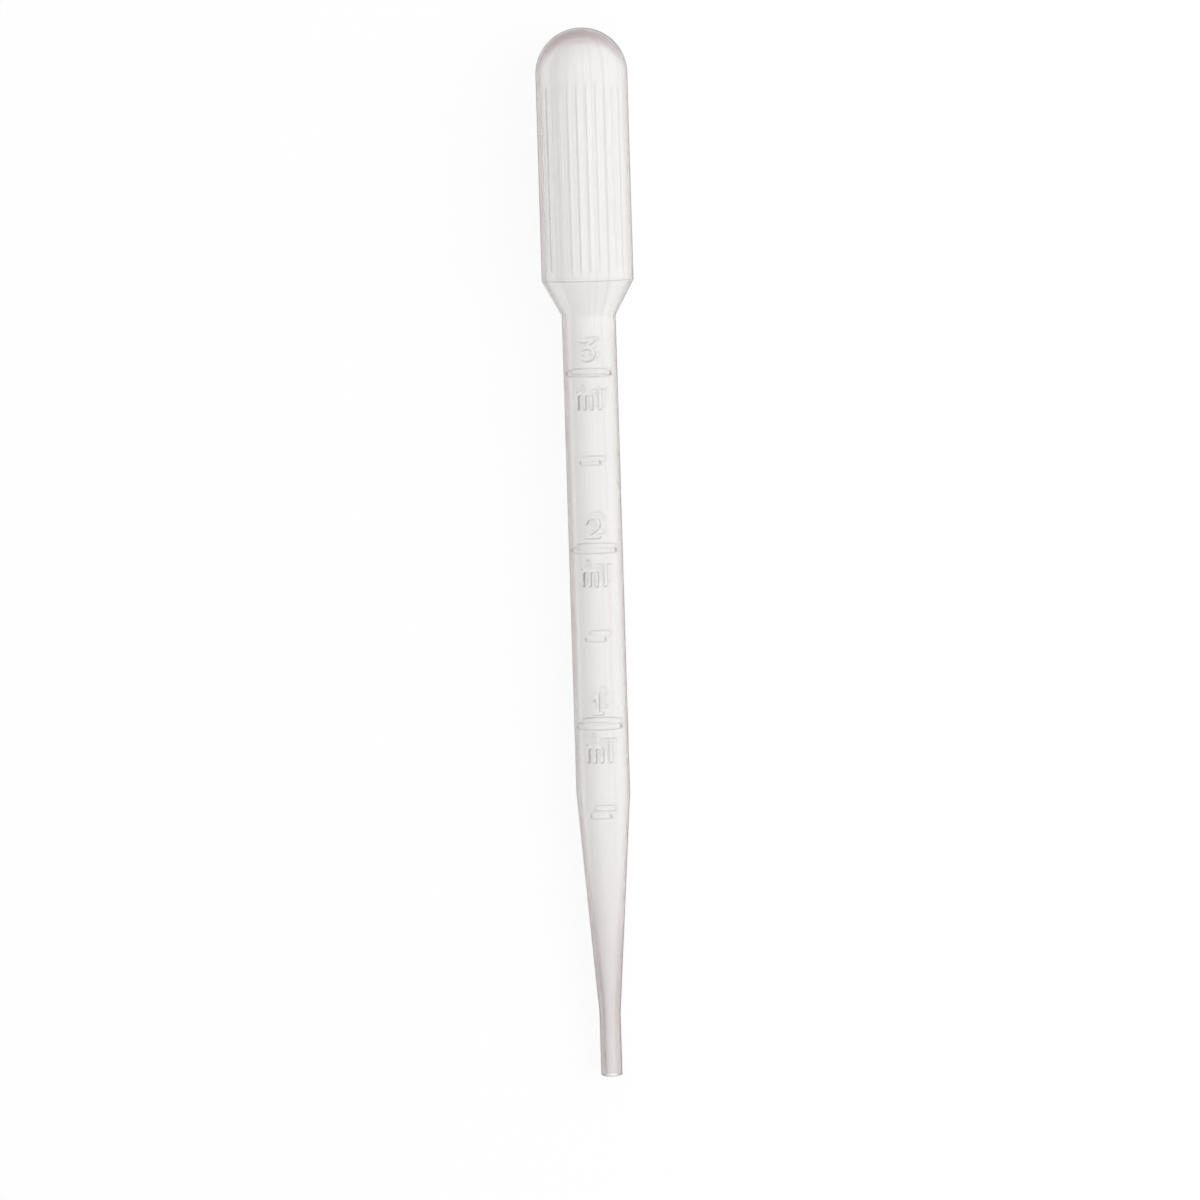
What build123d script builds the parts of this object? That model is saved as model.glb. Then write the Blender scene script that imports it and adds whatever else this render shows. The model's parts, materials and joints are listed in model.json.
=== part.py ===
from build123d import *
from math import atan, atan2, cos, degrees, pi, radians, sin, tan
import os

# Graduated transfer pipette: one hollow piece, blow-moulded in soft clear plastic, with a squeeze bulb,
# a straight stem and a drawn-out tip. It is modelled about its own long axis on +Y, with the open end
# of the tip at Y = 0 and the graduations facing +Z and -Z, and is rolled and laid on the floor at the end.
# Millimetres, cubic millimetres and degrees.

# tip, the narrow open end
tip_radius = 1.475
tip_wall = 0.475
tip_length = 9.2

# taper from the tip to the stem
taper_length = 32.8

# stem
stem_radius = 3.9
stem_wall = 0.4
blank_length = 8.5              # of the stem, from the highest graduation to the neck

# conical shoulder from the neck to the squeeze bulb
shoulder_length = 5.1

# squeeze bulb, closed by a half-sphere
bulb_radius = 6.7
bulb_wall = 0.45
bulb_length = 37.1              # from its sharp edge at the shoulder to the top of the dome

# grip ribs, which run lengthwise on both mould faces of the bulb
ribs_per_face = 11
rib_pitch = 11.7                # angle from one rib to the next
rib_width = 0.55                # at the bulb's surface
rib_crest = 0.15
rib_height = 0.13
rib_corner = 0.2                # how far the corners of a rib's end are cut off
rib_margin_edge = 1.2           # bare bulb between the ribs and the sharp edge
rib_margin_dome = 1.3           # bare bulb between the ribs and the dome

# parting line left by the two mould halves
seam_height = 0.1
seam_width = 0.3

# graduations: a raised line for each half millilitre, a long one wherever a number stands over it
volume_step = 500.0
top_number = 3
mark_height = 0.38
mark_width = 0.8
long_mark_angle = 120.0         # angle round the stem that a long line covers
short_mark_angle = 52.0
mark_corner = 0.25              # how far a line's corners are cut off

# raised numbers, and the unit under each numbered line
stroke_width = 0.5
digit_height = 3.3
digit_width = 2.3
digit_gap = 1.8                 # from the middle of a line up to the number
unit_gap = 2.0                  # from the middle of a line down to the top of the l
letter_l_height = 3.3
letter_m_height = 2.6
leg_spacing = 1.0               # between two legs of the m
letter_gap = 1.25               # between the last leg of the m and the l
letter_corner = 0.3             # how far the m's shoulders are cut off

# levels along the axis, worked out from the bore so that each line stands at its true volume
tip_bore = tip_radius - tip_wall
stem_bore = stem_radius - stem_wall
taper_top = tip_length + taper_length
outer_slope = (stem_radius - tip_radius) / taper_length
bore_slope = (stem_bore - tip_bore) / taper_length
tip_volume = pi * tip_bore ** 2 * tip_length
taper_volume = pi * (stem_bore ** 3 - tip_bore ** 3) / (3 * bore_slope)


def level(volume):
    """Height at which the bore holds a volume, drawn up from the open tip."""
    above_tip = volume - tip_volume
    if above_tip < taper_volume:
        radius = (tip_bore ** 3 + 3 * bore_slope * above_tip / pi) ** (1 / 3)
        return tip_length + (radius - tip_bore) / bore_slope
    return taper_top + (above_tip - taper_volume) / (pi * stem_bore ** 2)


long_levels = [level(2 * volume_step * number) for number in range(1, top_number + 1)]
short_levels = [level(2 * volume_step * number - volume_step) for number in range(1, top_number + 1)]
neck = long_levels[-1] + blank_length
bulb_edge = neck + shoulder_length
dome_base = bulb_edge + bulb_length - bulb_radius
shoulder_angle = atan2(bulb_radius - stem_radius, shoulder_length)
rib_low = bulb_edge + rib_margin_edge
rib_high = dome_base - rib_margin_dome


def half_outline(tip_offset, stem_offset, bulb_offset, low_end):
    """Half of the outline on +X, with each stretch of it moved outwards by its own offset."""
    corner = tan(shoulder_angle / 2)
    side = Polyline(
        (0, low_end),
        (tip_radius + tip_offset, low_end),
        (tip_radius + tip_offset, tip_length),
        (stem_radius + stem_offset, taper_top),
        (stem_radius + stem_offset, neck - stem_offset * corner),
        (bulb_radius + bulb_offset, bulb_edge - bulb_offset * corner),
        (bulb_radius + bulb_offset, dome_base),
    )
    dome = CenterArc((0, dome_base), bulb_radius + bulb_offset, 0, 90)
    axis = Line(dome @ 1, side @ 0)
    return make_face(side + dome + axis)


def outside(height):
    """Solid of the outside grown by a height."""
    return revolve(half_outline(height, height, height, 0), Axis.Y)


def inside():
    """Solid of the air inside, which runs out through the open tip."""
    return revolve(half_outline(-tip_wall, -stem_wall, -bulb_wall, -tip_wall), Axis.Y)


def ribs():
    """Grip ribs of both faces: low ridges with sloping sides and ends, let into the bulb's wall."""
    slope = (rib_width - rib_crest) / 2 / rib_height
    bite = bulb_wall / 2
    root = Rectangle(rib_width + 2 * bite * slope, rib_high - rib_low + 2 * bite * slope)
    root = chamfer(root.vertices(), rib_corner + bite * slope)
    rib = extrude(root, bite + rib_height, taper=degrees(atan(slope)))
    rib = Pos(0, (rib_low + rib_high) / 2, bulb_radius - bite) * rib
    middle = (ribs_per_face - 1) / 2
    turns = [rib_pitch * (place - middle) for place in range(ribs_per_face)]
    return [Rot(Y=face + turn) * rib for face in (0, 180) for turn in turns]


def seam():
    """Low flat fin of the parting line, up both sides and over the dome."""
    half = half_outline(seam_height, seam_height, seam_height, 0)
    return extrude(Sketch() + [half, mirror(half, Plane.YZ)], seam_width / 2, both=True)


def strokes(*paths):
    """Square-ended pen strokes, one along each path."""
    return Sketch() + [trace(path, stroke_width) for path in paths]


def number_one():
    """A 1 with a short flag and a narrow foot."""
    pen = stroke_width / 2
    half = digit_width / 2
    flag = Line((-0.55 * half, 0.68 * digit_height), (0, digit_height - 2 * pen))
    foot = Line((-0.5 * half, pen), (0.5 * half, pen))
    return strokes(flag, Line((0, 0), (0, digit_height)), foot)


def number_two():
    """A 2 with a round head, a slanting neck and a flat base."""
    pen = stroke_width / 2
    half = digit_width / 2
    head = CenterArc((0, digit_height - half), half - pen, 170, -205)
    neck_line = Line(head @ 1, (pen - half, pen))
    return strokes(head + neck_line, Line((-half, pen), (half, pen)))


def number_three():
    """A 3 with a flat top, a slanting neck and a round bowl."""
    pen = stroke_width / 2
    half = digit_width / 2
    bowl = CenterArc((0, half), half - pen, 125, -285)
    top = Line((-0.8 * half, digit_height - pen), (0.85 * half, digit_height - pen))
    neck_line = Line((0.65 * half, digit_height - pen), bowl @ 0)
    return strokes(top, neck_line, bowl)


def unit():
    """The unit, ml, hung from the top of its l."""
    pen = stroke_width / 2
    low = -letter_l_height
    crown = low + letter_m_height - pen
    l_x = leg_spacing + letter_gap / 2
    legs = [leg_spacing * leg - l_x for leg in range(3)]
    paths = [Line((legs[0], low), (legs[0], low + letter_m_height))]
    for start, end in zip(legs, legs[1:]):
        shoulder = (end - letter_corner, crown)
        paths.append(Polyline((start, crown), shoulder, (end, crown - letter_corner), (end, low)))
    return strokes(*paths, Line((l_x, low), (l_x, 0)))


def graduation(angle):
    """One line of the scale, which covers an angle round the stem."""
    bar = Rectangle(2 * stem_radius * sin(radians(angle / 2)), mark_width)
    return chamfer(bar.vertices(), mark_corner)


def marks():
    """The scale of one face, drawn flat and raised on the stem by its own height."""
    numbers = [number_one(), number_two(), number_three()]
    scale_marks = [Pos(Y=height) * graduation(short_mark_angle) for height in short_levels]
    for number, height in zip(numbers, long_levels):
        scale_marks.append(Pos(Y=height) * graduation(long_mark_angle))
        scale_marks.append(Pos(Y=height + digit_gap) * number)
        scale_marks.append(Pos(Y=height - unit_gap) * unit())
    return extrude(Sketch() + scale_marks, 2 * stem_radius) & outside(mark_height)


def rest_angle():
    """Lean of the axis when the pipette lies on its back, on two ribs of the bulb and one more place."""
    heel = Vector(rib_low, (bulb_radius + rib_height) * cos(radians(rib_pitch / 2)))
    lowest_mark = short_levels[0]
    mark_radius = min(stem_radius, tip_radius + outer_slope * (lowest_mark - tip_length)) + mark_height
    places = [Vector(lowest_mark, mark_radius), Vector(taper_top, stem_radius), Vector(0, tip_radius)]
    return min(degrees(atan((heel.Y - place.Y) / (heel.X - place.X))) for place in places)


def pipette():
    """The moulding at rest on two ribs, with its lowest point on the floor and centred over the origin."""
    face = marks()
    solid = outside(0) + [seam(), face, Rot(Y=180) * face, *ribs()]
    laid = Rot(X=rest_angle()) * Rot(Y=-rib_pitch / 2) * (solid - inside())
    box = laid.bounding_box()
    return Pos(-box.center().X, -box.center().Y, -box.min.Z) * laid


os.makedirs("parts", exist_ok=True)
export_step(pipette(), "parts/pipette.step")
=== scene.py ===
"""Graduated transfer pipette: the looks of one moulding in milky, see-through plastic, on a white table.

Every size is in metres, and every angle in radians unless a comment says degrees. The moulding is drawn
as a flat sheet of wall, which Geometry Nodes raise into ribs, parting line and scale, wrap round the
outline, and lay on the table.
"""

import json
import math

import bpy
from bpy.props import FloatProperty, FloatVectorProperty, IntProperty, PointerProperty
from mathutils import Matrix, Vector


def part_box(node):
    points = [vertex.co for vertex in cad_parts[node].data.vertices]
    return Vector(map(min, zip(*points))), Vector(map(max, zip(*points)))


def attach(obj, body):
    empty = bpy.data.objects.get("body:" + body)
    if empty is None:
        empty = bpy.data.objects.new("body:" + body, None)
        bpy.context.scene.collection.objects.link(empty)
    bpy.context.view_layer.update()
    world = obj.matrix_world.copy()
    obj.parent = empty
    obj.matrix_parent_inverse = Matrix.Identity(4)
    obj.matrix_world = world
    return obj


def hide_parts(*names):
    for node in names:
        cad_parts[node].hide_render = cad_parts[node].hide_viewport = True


bl_info = {
    "name": "Graduated transfer pipette",
    "version": (1, 0, 0),
    "blender": (4, 5, 0),
    "location": "View3D > Sidebar > Pipette",
    "description": "Builds a transfer pipette of soft clear plastic, its table, its light and its camera",
    "category": "Object",
}

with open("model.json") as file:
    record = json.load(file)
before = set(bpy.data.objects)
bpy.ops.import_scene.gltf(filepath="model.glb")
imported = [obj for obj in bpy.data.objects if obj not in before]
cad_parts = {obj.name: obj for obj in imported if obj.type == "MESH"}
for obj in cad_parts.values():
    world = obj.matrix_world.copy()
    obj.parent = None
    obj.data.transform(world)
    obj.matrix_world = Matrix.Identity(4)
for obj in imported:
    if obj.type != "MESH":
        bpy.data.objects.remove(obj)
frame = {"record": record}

NODE = "pipette"
BODY = "root"
SCALE_NUMBERS = (1, 2, 3)  # in millilitres, one at each long line

# the straight end of the tip, as the CAD model has it and lays it
MOUNTS = {mount["name"]: mount for mount in frame["record"]["mounts"]}
TIP = MOUNTS["tip_outside"]
TIP_RADIUS = TIP["dims"]["r_mm"] / 1000
TIP_BORE = MOUNTS["tip_bore"]["dims"]["r_mm"] / 1000
TIP_LENGTH = TIP["dims"]["length_mm"] / 1000
WAY_OUT = Vector(TIP["axis"])
OPEN_END = Vector(TIP["pos_m"]) + WAY_OUT * (TIP_LENGTH / 2)

# shapes that no property sets
TAPER_ROUNDING = 0.012  # how softly the ends of the taper are rounded, as a share of its length
SHOULDER_ROUNDING = 0.02  # the same for the shoulder
POLE = 1.00001  # a hair more than 1, so that the dome closes in one point
RIB_FADE = 0.0012  # length over which the ribs run out towards the dome
WELD = 0.000001  # points of the wall that are closer than this become one

# how far close rows of the sheet reach before and after a bend, on the way down the outside
RIB_HEAD = (0.0001, 0.0014)
RIB_FOOT = (0.0009, 0.0002)
EDGE_BEND = (0.0003, 0.0003)
NECK_BEND = (0.0004, 0.0004)
TAPER_BEND = (0.0006, 0.0006)
TIP_BEND = (0.0005, 0.0005)
CUT_EDGE = 0.00005  # at the open end
MARK_MARGIN = 0.0003  # from a mark to the rows on each side of it

# how close columns of the sheet reach: beyond half a rib as a share of it, and from the seam in degrees
RIB_REACH = 1.1
SEAM_REACH = 2.6

# painted shade on the sides of what is raised, from 0 to 1: a darker tint where refraction would shade
# the ribs, the bulb's edge and the marks
RIB_SHADE = 0.35
CREASE_SHADE = 0.6  # on the sharp edge of the bulb
CREASE_REACH = 0.00012  # on each side of that edge
LINE_SHADE = 0.45  # on the lines of the scale, next to 1 on their ends and on letters
BACK_SHADE = 0.2  # on the scale underneath, next to 1 on the one on top
ACROSS_SHADE = 0.25  # on a side that stands square to the most shaded one
SHADE_REACH = 0.00017  # on each side of a mark's outline
SHADED_WAY = (0.8, -0.6, 0.0)  # the way that the side of a mark with the most painted shade faces on the flat scale, as though lit from the other way

# streaks of the wall: how fine their noise is across and along it, and where their tint starts and ends
STREAKS = (15.0, 1.0, 15.0)
STREAK_START = 0.5
STREAK_END = 0.7

WINDOW = Vector((0.74, 0.12, 0.66)).normalized()  # the way to the light
DUSK = -0.3  # cosine of the angle to the window past which the room is darkest


def size(name, default, description):
    """A property for a length, in metres."""
    return FloatProperty(
        name=name, description=description, default=default, min=0.0, unit="LENGTH", precision=6
    )


def offset(name, default, description):
    """A property for a distance that may be negative, in metres."""
    return FloatProperty(name=name, description=description, default=default, unit="LENGTH", precision=6)


def turn(name, degrees, description):
    """A property for an angle, given in degrees."""
    return FloatProperty(
        name=name, description=description, default=math.radians(degrees), subtype="ANGLE"
    )


def share(name, default, description):
    """A property for a share, from 0 to 1."""
    return FloatProperty(
        name=name, description=description, default=default, min=0.0, max=1.0, subtype="FACTOR"
    )


def tint(name, default, description):
    """A property for a colour."""
    return FloatVectorProperty(
        name=name, description=description, default=default, min=0.0, subtype="COLOR"
    )


class PipetteForm(bpy.types.PropertyGroup):
    """Outline, walls, grip ribs, parting line and the way it lies."""

    tip_radius: size("Tip Radius", TIP_RADIUS, "Outside of the straight end of the tip")
    tip_wall: size("Tip Wall", TIP_RADIUS - TIP_BORE, "Wall of the tip")
    tip_length: size("Tip Length", TIP_LENGTH, "Straight end of the tip")
    taper_length: size("Taper Length", 0.0328, "From the straight end of the tip to the stem")
    stem_radius: size("Stem Radius", 0.0039, "Outside of the stem")
    stem_wall: size("Stem Wall", 0.0004, "Wall of the stem")
    blank_length: size("Blank Length", 0.0085, "Stem from the highest line to the shoulder")
    shoulder_length: size("Shoulder Length", 0.0051, "From the stem to the sharp edge of the bulb")
    bulb_radius: size("Bulb Radius", 0.0067, "Outside of the bulb and its dome")
    bulb_wall: size("Bulb Wall", 0.00045, "Wall of the bulb")
    bulb_length: size("Bulb Length", 0.0371, "From the sharp edge of the bulb to the top of its dome")
    ribs_per_face: IntProperty(
        name="Ribs per Face", description="Grip ribs on one mould face", default=11, min=1
    )
    rib_pitch: turn("Rib Pitch", 11.7, "Angle from one rib to the next")
    rib_width: size("Rib Width", 0.00068, "Width of a rib at the bulb's surface, with its flanks")
    rib_crest: size("Rib Crest", 0.00004, "Width of the top of a rib")
    rib_height: size("Rib Height", 0.00013, "Height of a rib")
    rib_margin_edge: size("Rib Margin at Edge", 0.0012, "Bare bulb between the ribs and the sharp edge")
    rib_margin_dome: size("Rib Margin at Dome", 0.0013, "Bare bulb between the ribs and the dome")
    seam_width: size("Seam Width", 0.0003, "Width of the parting line")
    seam_height: size("Seam Height", 0.0001, "Height of the parting line")
    lean: turn("Lean", math.degrees(math.asin(-WAY_OUT.z)), "How far the open end points below level")
    place: FloatVectorProperty(
        name="Place",
        description="Where the middle of the open end lies",
        default=tuple(OPEN_END),
        subtype="TRANSLATION",
        precision=6,
    )


class PipetteScale(bpy.types.PropertyGroup):
    """Raised graduations, numbers and units."""

    volume_step: FloatProperty(
        name="Volume Step",
        description="From one line to the next, in cubic metres",
        default=0.0000005,
        min=0.0,
        unit="VOLUME",
        precision=6,
    )
    line_width: size("Line Width", 0.0008, "Width of a graduation")
    mark_height: size("Mark Height", 0.00038, "How far every mark stands out")
    long_angle: turn("Long Line Angle", 120, "Angle round the stem that a long line covers")
    short_angle: turn("Short Line Angle", 52, "Angle round the stem that a short line covers")
    stroke_width: size("Stroke Width", 0.0005, "Width of the strokes of numbers and letters")
    edge_width: size("Edge Width", 0.00014, "Width of the sloping side of a mark")
    digit_height: size("Number Height", 0.0033, "Height of a number")
    digit_width: size("Number Width", 0.0023, "Width of a number")
    digit_gap: size("Number Gap", 0.0018, "From the middle of a line up to its number")
    unit_gap: size("Unit Gap", 0.002, "From the middle of a line down to the top of the l")
    l_height: size("Height of the l", 0.0033, "Height of the letter l")
    m_height: size("Height of the m", 0.0026, "Height of the letter m")
    leg_spacing: size("Leg Spacing", 0.001, "Between two legs of the m")
    letter_gap: size("Letter Gap", 0.00125, "Between the last leg of the m and the l")


class PipettePlastic(bpy.types.PropertyGroup):
    """Milky, see-through polyethylene, with tints that paint shade and highlight on it."""

    bulb_colour: tint("Bulb Colour", (0.955, 0.946, 0.938), "Tint of light straight through the bulb")
    stem_colour: tint("Stem Colour", (0.94, 0.932, 0.924), "Tint of light straight through the stem")
    tip_colour: tint("Tip Colour", (0.875, 0.85, 0.845), "Tint of light straight through the thicker tip")
    # painted shade: a dark tint on the sloping sides of the ribs, of the bulb's edge and of the marks
    side_shade_colour: tint("Side Shade Colour", (0.2, 0.18, 0.2), "Tint on the sloping sides of what is raised")
    # painted highlight: the tops of numbers and letters are tinted lighter than the wall around them,
    # standing in for glints
    top_highlight_colour: tint("Top Highlight Colour", (1.0, 1.0, 1.0), "Tint on the polished tops of numbers and letters")
    # rims tinted darker by the slant of the wall to the eye: partly the longer path of light through the
    # wall, partly painted shade for the darker surroundings seen there; Rim Start to Stem Rim set where
    # it shows
    rim_shade_colour: tint("Rim Shade Colour", (0.5, 0.41, 0.41), "Tint of light along the wall, at the rims")
    rim_start: share("Rim Start", 0.5, "Slant of the wall to the eye at which the rim's tint starts")
    rim_end: share("Rim End", 0.9, "Slant at which the rim's tint is full")
    thick_rim_end: share("Thick Rim End", 0.72, "Slant at which it is full in the tip")
    dome_rim_end: share("Dome Rim End", 0.63, "Slant at which it is full in the dome")
    stem_rim: share("Stem Rim", 0.2, "How far the stem's rim is like that of the tip")
    milk: share("Milk", 0.2, "How much light the plastic scatters instead of letting it through")
    roughness: share("Roughness", 0.08, "Roughness of the satin surface")
    refraction: FloatProperty(
        name="Refraction", description="Index of refraction", default=1.51, min=1.0
    )
    streak_colour: tint("Streak Colour", (0.88, 0.874, 0.878), "Tint of the thicker streaks of the wall")
    streak_height: size("Streak Height", 0.000024, "Height of the fine streaks of the wall")
    lamp_share: share("Lamp Share", 0.93, "Lamp light that goes straight through, for a pale shadow")


class PipetteStudio(bpy.types.PropertyGroup):
    """Table, light and camera."""

    table_size: size("Table Size", 3.0, "Side of the square table")
    table_colour: tint("Table Colour", (1.0, 1.0, 1.0), "Colour of the table")
    glow: share("Glow", 0.85, "How much of the table's white is its own to the eye, for a pale shadow")
    sky: FloatProperty(name="Sky", description="Strength of the room's light", default=1.0, min=0.0)
    dark_side: tint("Dark Side", (0.2, 0.195, 0.2), "Colour of the room away from the window")
    bright_side: tint("Bright Side", (1.0, 1.0, 1.0), "Colour of the room by the window")
    key_power: FloatProperty(
        name="Key Power", description="Power of the soft lamp", default=5.2, min=0.0, unit="POWER"
    )
    key_size: size("Key Size", 0.6, "Side of the soft lamp")
    lens: FloatProperty(name="Lens", description="Focal length", default=120.0, min=1.0, unit="CAMERA")
    camera_back: size("Camera Back", 0.042, "From the middle of the view to the camera, towards the dome")
    frame_width: size("Frame Width", 0.17664, "Width of the view at the height of the pipette's axis")
    camera_turn: turn("Camera Turn", -1.747, "Turn of the camera about the vertical")
    shift_right: offset("Shift Right", -0.00059, "From the middle of the view to that of the pipette")
    shift_up: offset("Shift Up", 0.00674, "From the middle of the view to that of the pipette")


class Levels:
    """Places along the axis, from the open end. Each line stands where the bore holds its volume."""

    def __init__(self, form, scale):
        self.taper_top = form.tip_length + form.taper_length
        step = scale.volume_step
        self.long_lines = [self.of_volume(form, 2 * number * step) for number in SCALE_NUMBERS]
        self.short_lines = [self.of_volume(form, (2 * number - 1) * step) for number in SCALE_NUMBERS]
        self.neck = self.long_lines[-1] + form.blank_length
        self.bulb_edge = self.neck + form.shoulder_length
        self.dome_base = self.bulb_edge + form.bulb_length - form.bulb_radius
        self.rib_low = self.bulb_edge + form.rib_margin_edge
        self.rib_high = self.dome_base - form.rib_margin_dome

    def of_volume(self, form, volume):
        """Place up to which the bore holds a volume, drawn up from the open tip."""
        tip_bore = form.tip_radius - form.tip_wall
        stem_bore = form.stem_radius - form.stem_wall
        slope = (stem_bore - tip_bore) / form.taper_length
        taper_volume = math.pi * (stem_bore**3 - tip_bore**3) / (3 * slope)
        above_tip = volume - math.pi * tip_bore**2 * form.tip_length
        if above_tip < taper_volume:
            radius = (tip_bore**3 + 3 * slope * above_tip / math.pi) ** (1 / 3)
            return form.tip_length + (radius - tip_bore) / slope
        return self.taper_top + (above_tip - taper_volume) / (math.pi * stem_bore**2)


# --- node trees as expressions -------------------------------------------------------------------------


def feed(tree, socket, value):
    """Gives an input a link or a plain value."""
    if isinstance(value, Number):
        value = value.socket
    if isinstance(value, bpy.types.NodeSocket):
        tree.links.new(value, socket)
    else:
        socket.default_value = value


def node(tree, kind, inputs=None, **settings):
    """Adds a node: its settings first, then its inputs by name or place."""
    made = tree.nodes.new(kind)
    for key, value in settings.items():
        setattr(made, key, value)
    for key, value in (inputs or {}).items():
        feed(tree, made.inputs[key], value)
    return made


class Number:
    """A number in a node tree. Arithmetic on it adds Math nodes."""

    def __init__(self, socket):
        self.socket = socket
        self.tree = socket.id_data

    def maths(self, operation, *values):
        made = self.tree.nodes.new("ShaderNodeMath")
        made.operation = operation
        for place, value in enumerate(values):
            feed(self.tree, made.inputs[place], value)
        return Number(made.outputs[0])

    def __add__(self, other):
        return self.maths("ADD", self, other)

    def __sub__(self, other):
        return self.maths("SUBTRACT", self, other)

    def __rsub__(self, other):
        return self.maths("SUBTRACT", other, self)

    def __mul__(self, other):
        return self.maths("MULTIPLY", self, other)

    def __truediv__(self, other):
        return self.maths("DIVIDE", self, other)

    def __rtruediv__(self, other):
        return self.maths("DIVIDE", other, self)

    def __neg__(self):
        return self * -1.0

    __radd__ = __add__
    __rmul__ = __mul__

    def least(self, other):
        return self.maths("MINIMUM", self, other)

    def most(self, other):
        return self.maths("MAXIMUM", self, other)

    def size(self):
        return self.maths("ABSOLUTE", self)

    def root(self):
        return self.maths("SQRT", self)

    def sine(self):
        return self.maths("SINE", self)

    def cosine(self):
        return self.maths("COSINE", self)

    def sign(self):
        return self.maths("SIGN", self)

    def above(self, other):
        return self.maths("GREATER_THAN", self, other)

    def wrapped(self, high, low):
        return self.maths("WRAP", self, high, low)

    def ramp(self, low, high, softness):
        """0 below low and 1 above high, straight between them, with rounded corners."""
        part = (self - low) / (high - low)
        part = self.maths("SMOOTH_MAX", part, 0.0, softness)
        return self.maths("SMOOTH_MIN", part, 1.0, softness)

    def step(self):
        """Eases a share between 0 and 1, and holds it there."""
        held = self.most(0.0).least(1.0)
        return held * held * (3.0 - 2.0 * held)

    def eased(self, start, end):
        """0 at a start and 1 at an end, whichever is higher, eased between them."""
        return ((self - start) / (end - start)).step()


def vector(tree, x, y, z=0.0):
    """A vector of three numbers."""
    return node(tree, "ShaderNodeCombineXYZ", {0: x, 1: y, 2: z}).outputs[0]


def vector_maths(tree, operation, *values):
    """What a Vector Math node gives: a number for a dot product, or else a vector."""
    made = node(tree, "ShaderNodeVectorMath", dict(enumerate(values)), operation=operation)
    return made.outputs["Value" if operation == "DOT_PRODUCT" else "Vector"]


def blend(tree, factor, first, second):
    """A colour between two, by a factor from 0 to 1."""
    made = node(tree, "ShaderNodeMix", {0: factor}, data_type="RGBA")
    for place, colour in ((6, first), (7, second)):
        linked = isinstance(colour, bpy.types.NodeSocket)
        feed(tree, made.inputs[place], colour if linked else (*colour, 1.0))
    return made.outputs[2]


def cleared(holder):
    """The node tree of a new material or world, switched on and emptied."""
    holder.use_nodes = True
    holder.node_tree.nodes.clear()
    return holder.node_tree


def new_tree(name, numbers, objects=()):
    """A Geometry Nodes tree with named inputs. Returns (tree, inputs by name, output node)."""
    tree = bpy.data.node_groups.new(name, "GeometryNodeTree")
    tree.is_modifier = True
    tree.interface.new_socket("Geometry", in_out="INPUT", socket_type="NodeSocketGeometry")
    for key in numbers:
        tree.interface.new_socket(key, in_out="INPUT", socket_type="NodeSocketFloat")
    for key in objects:
        tree.interface.new_socket(key, in_out="INPUT", socket_type="NodeSocketObject")
    tree.interface.new_socket("Material", in_out="INPUT", socket_type="NodeSocketMaterial")
    tree.interface.new_socket("Geometry", in_out="OUTPUT", socket_type="NodeSocketGeometry")
    given = tree.nodes.new("NodeGroupInput")
    inputs = {key: Number(given.outputs[key]) for key in numbers}
    inputs.update({key: given.outputs[key] for key in (*objects, "Geometry", "Material")})
    return tree, inputs, tree.nodes.new("NodeGroupOutput")


def bake(piece, tree, values):
    """Runs a tree on a piece and keeps the result as its plain mesh."""
    modifier = piece.modifiers.new(tree.name, "NODES")
    modifier.node_group = tree
    for item in tree.interface.items_tree:
        if item.in_out == "INPUT" and item.name in values:
            modifier[item.identifier] = values[item.name]
    bpy.context.view_layer.update()
    graph = bpy.context.evaluated_depsgraph_get()
    mesh = bpy.data.meshes.new_from_object(piece.evaluated_get(graph), depsgraph=graph)
    piece.modifiers.clear()
    old, piece.data = piece.data, mesh
    bpy.data.meshes.remove(old)
    mesh.name = piece.name
    return mesh


def new_mesh_object(name, points, edges, faces):
    """A mesh object at the origin, in the scene."""
    mesh = bpy.data.meshes.new(name)
    mesh.from_pydata(points, edges, faces)
    made = bpy.data.objects.new(name, mesh)
    bpy.context.scene.collection.objects.link(made)
    return made


# --- the flat sheet of wall ----------------------------------------------------------------------------


def steps(start, *stretches):
    """Places from a start through stretches of (end, number of steps)."""
    places = [start]
    for end, count in stretches:
        first = places[-1]
        places += [first + (end - first) * step / count for step in range(1, count + 1)]
    return places


def bulb_columns(form):
    """Angles across one face of the bulb, eight steps to each rib and one between ribs.

    They are worked out in degrees and given in radians.
    """
    pitch = math.degrees(form.rib_pitch)
    reach = math.degrees(form.rib_width / 2 / form.bulb_radius) * RIB_REACH
    first = -pitch * (form.ribs_per_face - 1) / 2
    side = steps(-90, (SEAM_REACH - 90, 3), (first - reach, 2))[:-1]
    ribs = []
    for rib in range(form.ribs_per_face):
        middle = first + pitch * rib
        ribs += steps(middle - reach, (middle + reach, 8))
    return [math.radians(a) for a in side + ribs + [-a for a in reversed(side)]]


def stem_columns(count):
    """Angles across one face of the stem, close together at numbers, line ends and seam.

    They are worked out in degrees and given in radians, as many as the bulb has.
    """
    numbers_end, line_end, past_line, seam = 39, 54, 64.5, 84
    half = steps(numbers_end, (line_end, 3), (past_line, 8), (seam, 4), (90, 6))
    middle = steps(-numbers_end, (numbers_end, count + 1 - 2 * len(half)))
    return [math.radians(a) for a in [-a for a in reversed(half)] + middle[1:-1] + half]


def down(place, reach, steps_to, steps_through):
    """Stretches of rows down to a bend or mark, and closely through it."""
    return [(place + reach[0], steps_to), (place - reach[1], steps_through)]


def up(place, reach, steps_to, steps_through):
    """Stretches of rows up to a bend, and closely through it."""
    return [(place - reach[1], steps_to), (place + reach[0], steps_through)]


def quarter_round(centre, radius, start, end, count):
    """Places along the axis on a quarter round, at even angles in degrees."""
    return [centre + radius * math.sin(math.radians(a)) for a in steps(start, (end, count))]


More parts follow.
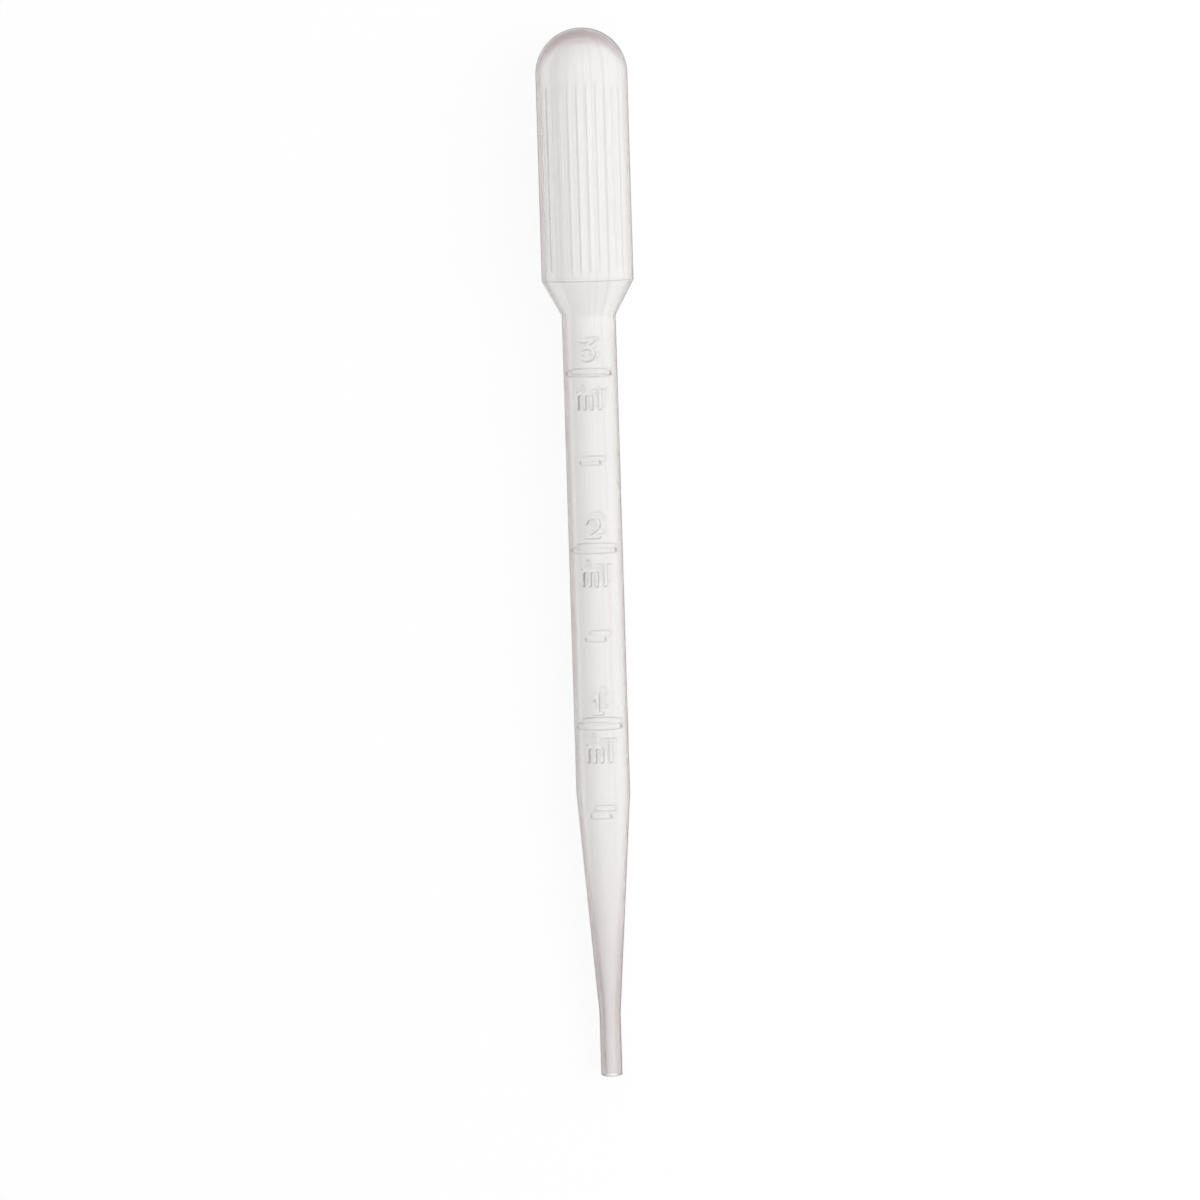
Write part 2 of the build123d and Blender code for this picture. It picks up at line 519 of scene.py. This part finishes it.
def rows(form, scale, levels):
    """(distance from the open end, 0 outside or 1 inside) down the outside, and back up the inside."""
    stretches = [
        *down(levels.rib_high, RIB_HEAD, 2, 12),
        *down(levels.rib_low, RIB_FOOT, 4, 11),
        *down(levels.bulb_edge, EDGE_BEND, 2, 8),
        *down(levels.neck, NECK_BEND, 4, 6),
    ]
    line_reach = (scale.line_width / 2 + MARK_MARGIN,) * 2
    for line, short in zip(reversed(levels.long_lines), reversed(levels.short_lines)):
        foot = line + scale.digit_gap
        head = line - scale.unit_gap
        stretches += [
            (foot + scale.digit_height + MARK_MARGIN, 2),
            (foot - MARK_MARGIN, 34),
            *down(line, line_reach, 2, 14),
            (head + MARK_MARGIN, 2),
            (head - scale.l_height - MARK_MARGIN, 34),
        ]
        if short < levels.taper_top:
            stretches += down(levels.taper_top, TAPER_BEND, 2, 4)
        stretches += down(short, line_reach, 2, 14)
    stretches += [*down(form.tip_length, TIP_BEND, 5, 4), (CUT_EDGE, 4), (0.0, 1)]
    outside = quarter_round(levels.dome_base, form.bulb_radius, 90, 0, 22)
    outside += steps(levels.dome_base, *stretches)[1:]
    inside = steps(
        0.0,
        (CUT_EDGE, 1),
        *up(form.tip_length, TIP_BEND, 2, 3),
        *up(levels.taper_top, TAPER_BEND, 3, 3),
        *up(levels.neck, NECK_BEND, 3, 4),
        *up(levels.bulb_edge, EDGE_BEND, 3, 4),
        (levels.dome_base, 2),
    )
    inside += quarter_round(levels.dome_base, form.bulb_radius - form.bulb_wall, 0, 90, 16)[1:]
    return [(y, 0.0) for y in outside] + [(y, 1.0) for y in inside]


def sheet_of_wall(form, scale, levels):
    """The whole wall as a flat sheet of (angle, distance from the open end, 0 outside or 1 inside)."""
    bulb = bulb_columns(form)
    stem = stem_columns(len(bulb))
    if len(stem) != len(bulb):
        raise ValueError(f"{form.ribs_per_face} ribs leave too few columns for the scale")
    stem += [a + math.pi for a in stem[1:]]
    bulb += [a + math.pi for a in bulb[1:]]
    wide = len(stem)
    points, places = [], rows(form, scale, levels)
    for along, side in places:
        part = min(max((along - levels.neck) / form.shoulder_length, 0.0), 1.0)
        points += [(a + (b - a) * part, along, side) for a, b in zip(stem, bulb)]
    faces = [
        (r * wide + c, (r + 1) * wide + c, (r + 1) * wide + c + 1, r * wide + c + 1)
        for r in range(len(places) - 1)
        for c in range(wide - 1)
    ]
    return new_mesh_object("pipette_moulding", points, [], faces)


# --- the strokes of the scale --------------------------------------------------------------------------


def arc(x, y, radius, start, end, count=14):
    """Points along an arc, with its angles in degrees."""
    angles = [math.radians(a) for a in steps(start, (end, count))]
    return [(x + radius * math.cos(a), y + radius * math.sin(a)) for a in angles]


def digit_strokes(scale, number):
    """Middle lines of the strokes of a number that stands on y = 0."""
    pen = scale.stroke_width / 2
    half = scale.digit_width / 2
    high = scale.digit_height
    if number == 1:
        flag = (-0.55 * half, 0.68 * high)
        foot = [(-0.5 * half, pen), (0.5 * half, pen)]
        return [[flag, (0.0, high - pen), (0.0, pen)], foot]
    if number == 2:
        head = arc(0.0, high - half, half - pen, 170, -35)
        return [head + [(pen - half, pen), (half - pen, pen)]]
    roof = [(-0.72 * half, high - pen), (0.7 * half, high - pen)]
    return [roof + arc(0.0, half, half - pen, 125, -160)]


def unit_strokes(scale):
    """Middle lines of the strokes of ml, hung from y = 0."""
    pen = scale.stroke_width / 2
    low = pen - scale.l_height
    crown = low + scale.m_height - 2 * pen
    l_x = scale.leg_spacing + scale.letter_gap / 2
    bend = scale.leg_spacing / 2
    serif = 0.8 * pen
    strokes = [
        [(l_x, -pen), (l_x, low)],
        [(-l_x - serif, crown + 0.5 * serif), (-l_x, crown - 0.6 * serif), (-l_x, low)],
    ]
    for start in (-l_x, scale.leg_spacing - l_x):
        arch = arc(start + bend, crown - bend, bend, 180, 0)
        strokes.append([*arch, (start + scale.leg_spacing, low)])
    return strokes


def stroke_object(name, strokes):
    """Strokes as edges of a flat mesh."""
    points, edges = [], []
    for stroke in strokes:
        first = len(points)
        points += [(x, y, 0.0) for x, y in stroke]
        edges += [(first + step, first + step + 1) for step in range(len(stroke) - 1)]
    return new_mesh_object(name, points, edges, [])


def letters(scale, levels):
    """Every number and unit of one face."""
    strokes = []
    for number, line in zip(SCALE_NUMBERS, levels.long_lines):
        for stroke in digit_strokes(scale, number):
            strokes.append([(x, y + line + scale.digit_gap) for x, y in stroke])
        for stroke in unit_strokes(scale):
            strokes.append([(x, y + line - scale.unit_gap) for x, y in stroke])
    return stroke_object("scale_letters", strokes)


def lines(form, scale, levels):
    """Every graduation of one face, and short strokes at the ends of each, which carry only painted
    shade.
    """
    half = scale.line_width / 2
    strokes, ends = [], []
    kinds = ((levels.long_lines, scale.long_angle), (levels.short_lines, scale.short_angle))
    for places, angle in kinds:
        end = form.stem_radius * math.sin(angle / 2) - half
        for y in places:
            strokes.append([(-end, y), (end, y)])
            # short strokes at each end of a line, for painted shade only
            ends += [[(x, y - half / 2), (x, y + half / 2)] for x in (-end, end)]
    return stroke_object("scale_lines", strokes), stroke_object("scale_line_ends", ends)


# --- the moulding's rule -------------------------------------------------------------------------------

FORM_INPUTS = {
    "Tip Radius": "tip_radius",
    "Tip Wall": "tip_wall",
    "Tip Length": "tip_length",
    "Stem Radius": "stem_radius",
    "Stem Wall": "stem_wall",
    "Bulb Radius": "bulb_radius",
    "Bulb Wall": "bulb_wall",
    "Ribs per Face": "ribs_per_face",
    "Rib Pitch": "rib_pitch",
    "Rib Width": "rib_width",
    "Rib Crest": "rib_crest",
    "Rib Height": "rib_height",
    "Seam Width": "seam_width",
    "Seam Height": "seam_height",
    "Lean": "lean",
}
LEVEL_INPUTS = {
    "Taper Top": "taper_top",
    "Neck": "neck",
    "Bulb Edge": "bulb_edge",
    "Dome Base": "dome_base",
    "Rib Low End": "rib_low",
    "Rib High End": "rib_high",
}
SCALE_INPUTS = {
    "Line Width": "line_width",
    "Mark Height": "mark_height",
    "Stroke Width": "stroke_width",
    "Edge Width": "edge_width",
}
PLACE_INPUTS = ("Place X", "Place Y", "Place Z")
NUMBER_INPUTS = (*FORM_INPUTS, *LEVEL_INPUTS, *SCALE_INPUTS, *PLACE_INPUTS, "Roll")


def outline(given, along, side):
    """(radius of the wall, how far up the dome it is, how much of the dome's width is left there)."""
    tip = given["Tip Radius"] - given["Tip Wall"] * side
    stem = given["Stem Radius"] - given["Stem Wall"] * side
    bulb = given["Bulb Radius"] - given["Bulb Wall"] * side
    taper = along.ramp(given["Tip Length"], given["Taper Top"], TAPER_ROUNDING)
    shoulder = along.ramp(given["Neck"], given["Bulb Edge"], SHOULDER_ROUNDING)
    radius = tip + (stem - tip) * taper + (bulb - stem) * shoulder
    up_dome = ((along - given["Dome Base"]).most(0.0) / bulb * POLE).least(1.0)
    outward = (1.0 - up_dome * up_dome).root()
    return radius * outward, up_dome, outward


def grip_ribs(given, angle, along):
    """1 on the crests of the ribs and 0 between them, on both faces alike."""
    face_angle = angle.wrapped(math.pi / 2, -math.pi / 2)
    half_pitch = given["Rib Pitch"] / 2.0
    half_rib = given["Rib Width"] / 2.0
    across = face_angle.wrapped(half_pitch, -half_pitch) * given["Bulb Radius"]
    below = given["Rib Low End"] + half_rib - along
    past = along - given["Rib High End"] + half_rib
    beyond = below.most(past).most(0.0)
    from_rib = (across * across + beyond * beyond).root()
    rib = from_rib.eased(half_rib, given["Rib Crest"] / 2.0)
    rib = rib * (half_pitch * given["Ribs per Face"]).above(face_angle.size())
    rib = rib * along.eased(given["Rib High End"], given["Rib High End"] - RIB_FADE)
    return rib * face_angle.cosine() * face_angle.cosine()


def strokes_near(tree, drawn, where, width, edge):
    """(1 on the strokes of an object and 0 off them, painted shade on their sides, most on the side that
    faces SHADED_WAY), eased over an edge.
    """
    shape = node(tree, "GeometryNodeObjectInfo", {"Object": drawn}).outputs["Geometry"]
    near = node(
        tree,
        "GeometryNodeProximity",
        {"Geometry": shape, "Sample Position": where},
        target_element="EDGES",
    ).outputs
    away = vector_maths(tree, "NORMALIZE", vector_maths(tree, "SUBTRACT", where, near["Position"]))
    facing = Number(vector_maths(tree, "DOT_PRODUCT", away, SHADED_WAY))
    shaded = (facing * (1.0 - ACROSS_SHADE) + ACROSS_SHADE).most(0.0)
    inside = width / 2.0 - Number(near["Distance"])
    band = (1.0 - inside.size() / SHADE_REACH).step()
    return (inside / edge + 0.5).step(), band * shaded


def lay_down(tree, given, upright):
    """Rolls the pipette onto two ribs, leans it, and puts its open end in its place."""
    laid = upright
    for turned, axis in (("Roll", "Y_AXIS"), ("Lean", "X_AXIS")):
        inputs = {"Vector": laid, "Angle": given[turned]}
        laid = node(tree, "ShaderNodeVectorRotate", inputs, rotation_type=axis).outputs[0]
    place = vector(tree, *(given[key] for key in PLACE_INPUTS))
    return vector_maths(tree, "ADD", laid, place)


def moulding_tree():
    """Raises the flat sheet into ribs, seam and scale, wraps it round the outline and lays it down."""
    drawings = ("Letters", "Lines", "Line Ends")
    tree, given, output = new_tree("pipette_moulding_rule", NUMBER_INPUTS, drawings)
    where = node(tree, "GeometryNodeInputPosition").outputs[0]
    on_sheet = node(tree, "ShaderNodeSeparateXYZ", {0: where}).outputs
    angle, along, side = (Number(on_sheet[place]) for place in range(3))
    outer = 1.0 - side
    radius, up_dome, outward = outline(given, along, side)

    rib = grip_ribs(given, angle, along)
    # painted shade in a thin band along the sharp edge of the bulb
    bulb_edge_shade = (1.0 - (along - given["Bulb Edge"]).size() / CREASE_REACH).step()

    # parting line, where the two mould halves met
    seam = (angle.cosine() * radius).size().eased(given["Seam Width"] / 2.0, 0.0)

    # scale, drawn flat and laid on both faces, so that it reads right on each
    front = angle.cosine()
    on_top = front.above(0.0)
    flat = vector(tree, angle.sine() * radius * front.sign(), along)
    edge = given["Edge Width"]
    letter, letter_side_shade = strokes_near(tree, given["Letters"], flat, given["Stroke Width"], edge)
    line, line_side_shade = strokes_near(tree, given["Lines"], flat, given["Line Width"], edge)
    # the short strokes at the ends of the lines give only painted shade, no relief
    end, _ = strokes_near(tree, given["Line Ends"], flat, edge, SHADE_REACH)
    # painted shade on the sides of the marks, weaker on the scale underneath
    marked_side_shade = letter_side_shade.most(line_side_shade * LINE_SHADE).most(end)
    marked_side_shade = marked_side_shade * (on_top * (1.0 - BACK_SHADE) + BACK_SHADE)

    # wrap and lay down
    relief = (rib * given["Rib Height"]).most(seam * given["Seam Height"])
    relief = relief.most(letter.most(line) * given["Mark Height"]) * outer
    out = radius + relief * outward
    upright = vector(tree, angle.sine() * out, along + relief * up_dome, angle.cosine() * out)
    laid = lay_down(tree, given, upright)

    # what the plastic's look follows: the place on the wall, painted shade on the sides of what is
    # raised, and a painted highlight on the tops of numbers and letters
    sides = (rib * (1.0 - rib) * RIB_SHADE).most(bulb_edge_shade * CREASE_SHADE).most(marked_side_shade)
    wall = given["Geometry"]
    for name, kind, value in (
        ("round_wall", "FLOAT_VECTOR", vector(tree, angle.sine(), along, angle.cosine())),
        ("raised_side", "FLOAT", sides * outer),
        ("raised_top", "FLOAT", letter * outer * on_top),
    ):
        inputs = {"Geometry": wall, "Name": name}
        stored = node(tree, "GeometryNodeStoreNamedAttribute", inputs, data_type=kind, domain="POINT")
        feed(tree, stored.inputs["Value"], value)
        wall = stored.outputs[0]
    for kind, inputs in (
        ("GeometryNodeSetPosition", {"Position": laid}),
        ("GeometryNodeMergeByDistance", {"Distance": WELD}),
        ("GeometryNodeSetShadeSmooth", {}),
        ("GeometryNodeRealizeInstances", {}),
        ("GeometryNodeSetMaterial", {"Material": given["Material"]}),
    ):
        wall = node(tree, kind, {"Geometry": wall, **inputs}).outputs[0]
    feed(tree, output.inputs[0], wall)
    return tree


# --- plastic -------------------------------------------------------------------------------------------


def plastic(settings, form, levels):
    """Milky, see-through plastic with fine streaks along the wall, painted shade on the sides of what is
    raised and at its rims, and a painted highlight on the tops of numbers and letters.
    """
    made = bpy.data.materials.new("clear_plastic")
    tree = cleared(made)
    wall = node(tree, "ShaderNodeAttribute", attribute_name="round_wall").outputs["Vector"]
    # painted shade on the sides of what is raised, and a painted highlight on the tops of numbers and
    # letters, as the moulding's rule stored them
    side = Number(node(tree, "ShaderNodeAttribute", attribute_name="raised_side").outputs["Fac"])
    top = Number(node(tree, "ShaderNodeAttribute", attribute_name="raised_top").outputs["Fac"])
    slant = Number(node(tree, "ShaderNodeLayerWeight", {"Blend": 0.5}).outputs["Facing"])

    # fine streaks, in relief and in tint
    scaled = vector_maths(tree, "MULTIPLY", wall, STREAKS)
    noise = {"Vector": scaled, "Scale": 1.0, "Detail": 3.0, "Roughness": 0.6}
    streak = Number(node(tree, "ShaderNodeTexNoise", noise).outputs[0])
    raised = {"Height": streak, "Strength": 0.5, "Distance": settings.streak_height}
    bump = node(tree, "ShaderNodeBump", raised).outputs[0]

    # which part of the pipette it is, and from there how its rim shows, darker partly for the longer path
    # through the wall and partly as painted shade
    along = Number(node(tree, "ShaderNodeSeparateXYZ", {0: wall}).outputs["Y"])
    stem = along.eased(levels.neck, levels.neck - form.shoulder_length)
    tip = along.eased(levels.taper_top, form.tip_length)
    dome = along.eased(levels.dome_base, levels.dome_base + form.bulb_radius)
    solid = tip.most(dome).most(stem * settings.stem_rim)
    start = settings.rim_start * (1.0 - solid)
    end = settings.rim_end + solid * (settings.thick_rim_end - settings.rim_end)
    end = end + dome * (settings.dome_rim_end - settings.thick_rim_end)

    tinted = settings.bulb_colour
    for factor, colour in (
        (stem, settings.stem_colour),
        (tip, settings.tip_colour),
        (streak.eased(STREAK_START, STREAK_END), settings.streak_colour),
        # painted highlight on the tops of numbers and letters
        (top, settings.top_highlight_colour),
        # painted shade on the sides of ribs, bulb edge and marks
        (side, settings.side_shade_colour),
        # darker rims by the slant to the eye: partly the longer path through the wall, partly painted
        # shade
        (slant.eased(start, end), settings.rim_shade_colour),
    ):
        tinted = blend(tree, factor, tinted, colour)
    body = node(
        tree,
        "ShaderNodeBsdfPrincipled",
        {
            "Base Color": tinted,
            "Roughness": settings.roughness,
            "IOR": settings.refraction,
            "Transmission Weight": 1.0 - settings.milk,
            "Normal": bump,
        },
    )
    clear = node(tree, "ShaderNodeBsdfTransparent", {"Color": (settings.lamp_share,) * 3 + (1.0,)})
    lamp_ray = node(tree, "ShaderNodeLightPath").outputs["Is Shadow Ray"]
    seen = node(tree, "ShaderNodeMixShader", {0: lamp_ray, 1: body.outputs[0], 2: clear.outputs[0]})
    node(tree, "ShaderNodeOutputMaterial", {"Surface": seen.outputs[0]})
    return made


# --- table, light and camera ---------------------------------------------------------------------------


def table_material(studio):
    """White table: plain white but for the shadow, also in gloss and through the plastic."""
    made = bpy.data.materials.new("white_table")
    tree = cleared(made)
    colour = (*studio.table_colour, 1.0)
    lit = node(tree, "ShaderNodeBsdfDiffuse", {"Color": colour})
    glow = node(tree, "ShaderNodeEmission", {"Color": colour, "Strength": 1.0})
    path = node(tree, "ShaderNodeLightPath").outputs
    eye_ray = Number(path["Is Camera Ray"]).most(path["Is Glossy Ray"]).most(path["Is Transmission Ray"])
    seen = node(
        tree, "ShaderNodeMixShader", {0: eye_ray * studio.glow, 1: lit.outputs[0], 2: glow.outputs[0]}
    )
    node(tree, "ShaderNodeOutputMaterial", {"Surface": seen.outputs[0]})
    return made


def room(studio):
    """A room that brightens towards the window."""
    world = bpy.data.worlds.new("room")
    tree = cleared(world)
    way = node(tree, "ShaderNodeTexCoord").outputs["Generated"]
    towards = Number(vector_maths(tree, "DOT_PRODUCT", way, WINDOW))
    colour = blend(tree, towards.eased(DUSK, 1.0), studio.dark_side, studio.bright_side)
    light = node(tree, "ShaderNodeBackground", {"Color": colour, "Strength": studio.sky})
    node(tree, "ShaderNodeOutputWorld", {"Surface": light.outputs[0]})
    return world


def key_light(studio, middle):
    """A square soft lamp a metre from the pipette, which neither gloss nor the clear plastic shows."""
    data = bpy.data.lights.new("key_light", "AREA")
    data.shape = "SQUARE"
    data.size = studio.key_size
    data.energy = studio.key_power
    lamp = bpy.data.objects.new("key_light", data)
    lamp.location = middle + WINDOW
    lamp.rotation_euler = (-WINDOW).to_track_quat("-Z", "Y").to_euler()
    lamp.visible_glossy = False
    lamp.visible_transmission = False
    bpy.context.scene.collection.objects.link(lamp)


def camera(studio, middle):
    """Looks straight down from over the shoulder, turned, and shifted to set the pipette in the view."""
    data = bpy.data.cameras.new("camera")
    data.lens = studio.lens
    data.sensor_width = 36.0
    data.clip_end = 10.0
    data.shift_y = -studio.camera_back / studio.frame_width
    height = studio.frame_width * data.lens / data.sensor_width
    foot = Vector((-studio.shift_right, studio.camera_back - studio.shift_up, height))
    made = bpy.data.objects.new("camera", data)
    made.location = middle + Matrix.Rotation(studio.camera_turn, 3, "Z") @ foot
    made.rotation_euler = (0.0, 0.0, studio.camera_turn)
    bpy.context.scene.collection.objects.link(made)
    bpy.context.scene.camera = made


# --- operators, panel and registration -----------------------------------------------------------------


class PIPETTE_OT_moulding(bpy.types.Operator):
    """Build the moulding with its ribs, parting line and raised scale"""

    bl_idname = "pipette.moulding"
    bl_label = "Build Moulding"

    def execute(self, context):
        form, scale = context.scene.pipette_form, context.scene.pipette_scale
        levels = Levels(form, scale)
        piece = sheet_of_wall(form, scale, levels)
        drawn = {"Letters": letters(scale, levels)}
        drawn["Lines"], drawn["Line Ends"] = lines(form, scale, levels)
        values = {**drawn, **dict(zip(PLACE_INPUTS, form.place)), "Roll": -form.rib_pitch / 2}
        for group, names in ((form, FORM_INPUTS), (levels, LEVEL_INPUTS), (scale, SCALE_INPUTS)):
            values.update({key: float(getattr(group, name)) for key, name in names.items()})
        values["Material"] = plastic(context.scene.pipette_plastic, form, levels)
        mesh = bake(piece, moulding_tree(), values)
        for helper in drawn.values():
            data = helper.data
            bpy.data.objects.remove(helper)
            bpy.data.meshes.remove(data)
        if not mesh.polygons:
            raise RuntimeError("the moulding's rule gave no wall")
        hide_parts(NODE)
        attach(piece, BODY)
        return {"FINISHED"}


class PIPETTE_OT_studio(bpy.types.Operator):
    """Build the white table, the soft light and the camera"""

    bl_idname = "pipette.studio"
    bl_label = "Build Studio"

    def execute(self, context):
        studio = context.scene.pipette_studio
        half = studio.table_size / 2
        corners = [(-half, -half, 0.0), (half, -half, 0.0), (half, half, 0.0), (-half, half, 0.0)]
        table = new_mesh_object("table", corners, [], [(0, 1, 2, 3)])
        table.data.materials.append(table_material(studio))
        context.scene.world = room(studio)
        low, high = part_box(NODE)
        middle = (Vector(low) + Vector(high)) / 2
        key_light(studio, middle)
        camera(studio, middle)
        context.scene.view_settings.view_transform = "Standard"
        return {"FINISHED"}


class PIPETTE_PT_panel(bpy.types.Panel):
    """Sizes, colours and light of the pipette"""

    bl_idname = "PIPETTE_PT_panel"
    bl_label = "Transfer Pipette"
    bl_space_type = "VIEW_3D"
    bl_region_type = "UI"
    bl_category = "Pipette"

    def draw(self, context):
        for name in GROUPS:
            box = self.layout.box()
            settings = getattr(context.scene, name)
            for key in settings.__annotations__:
                box.prop(settings, key)
        self.layout.operator("pipette.moulding")
        self.layout.operator("pipette.studio")


GROUPS = {
    "pipette_form": PipetteForm,
    "pipette_scale": PipetteScale,
    "pipette_plastic": PipettePlastic,
    "pipette_studio": PipetteStudio,
}
CLASSES = (*GROUPS.values(), PIPETTE_OT_moulding, PIPETTE_OT_studio, PIPETTE_PT_panel)


def register():
    for made in CLASSES:
        bpy.utils.register_class(made)
    for name, group in GROUPS.items():
        setattr(bpy.types.Scene, name, PointerProperty(type=group))


def unregister():
    for name in GROUPS:
        delattr(bpy.types.Scene, name)
    for made in reversed(CLASSES):
        bpy.utils.unregister_class(made)


def main():
    """Registers the settings and panel, and builds everything."""
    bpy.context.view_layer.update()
    register()
    bpy.ops.pipette.moulding()
    bpy.ops.pipette.studio()


if __name__ == "__main__":
    main()
